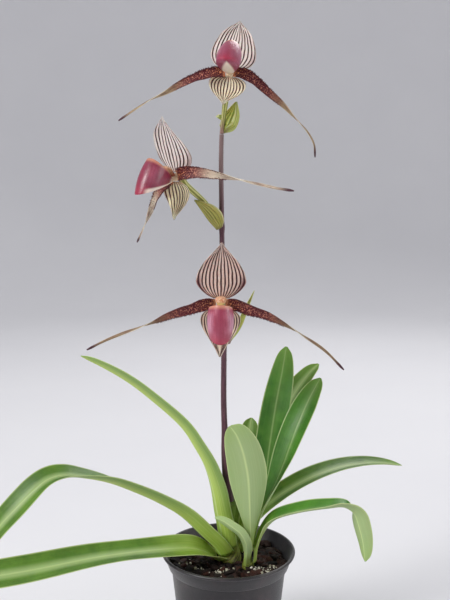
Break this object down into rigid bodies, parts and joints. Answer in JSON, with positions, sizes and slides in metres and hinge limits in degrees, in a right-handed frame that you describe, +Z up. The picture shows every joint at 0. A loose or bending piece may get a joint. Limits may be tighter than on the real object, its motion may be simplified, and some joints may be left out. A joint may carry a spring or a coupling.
{
  "type": "potted slipper orchid",
  "caption": "Slipper orchid in a round nursery pot: strap leaves and a dark stem of striped flowers with long spotted petals and rosy pouches.",
  "frame": {"origin": "middle of the underside of the pot, on the surface that it stands on", "axes": "+Z up along the pot's axis; -Y towards the viewer, the side that the flowers face; +X to the viewer's right"},
  "size_m": [0.489, 0.2214, 0.6635],
  "materials": {
    "pot": "satin black plastic",
    "bark": "rough damp bark chips",
    "crown": "smooth pale green leaf bases",
    "leaf": "glossy green leaf",
    "stem": "dark downy purple-brown stem",
    "green": "downy yellow-green with dark veins",
    "sepal": "cream with dark maroon stripes",
    "petal": "cream with maroon spots and hairy edges",
    "pouch": "glossy purple-rose",
    "column": "downy yellow"
  },
  "bodies": {
    "root": {"pot": "pot", "crown_flowering": "crown", "crown_young": "crown", "bark_mix": "bark", "leaf_left_low": "leaf", "leaf_left_middle": "leaf", "leaf_left_high": "leaf", "leaf_right_arching": "leaf", "leaf_back_right": "leaf", "leaf_back_short": "leaf", "leaf_small_front": "leaf", "leaf_right_drooping": "leaf", "leaf_right_upright": "leaf", "leaf_back_tall": "leaf", "leaf_front": "leaf", "flower_stem": "stem", "flower_low_dorsal_sepal": "sepal", "flower_low_lower_sepal": "sepal", "flower_low_petal_left": "petal", "flower_low_petal_right": "petal", "flower_low_pouch": "pouch", "flower_low_column": "column", "flower_low_ovary": "green", "flower_low_bract": "green", "flower_middle_dorsal_sepal": "sepal", "flower_middle_lower_sepal": "sepal", "flower_middle_petal_left": "petal", "flower_middle_petal_right": "petal", "flower_middle_pouch": "pouch", "flower_middle_column": "column", "flower_middle_ovary": "green", "flower_middle_bract": "green", "flower_top_dorsal_sepal": "sepal", "flower_top_lower_sepal": "sepal", "flower_top_petal_left": "petal", "flower_top_petal_right": "petal", "flower_top_pouch": "pouch", "flower_top_column": "column", "flower_top_ovary": "green", "flower_top_bract": "green"}
  },
  "joints": []
}
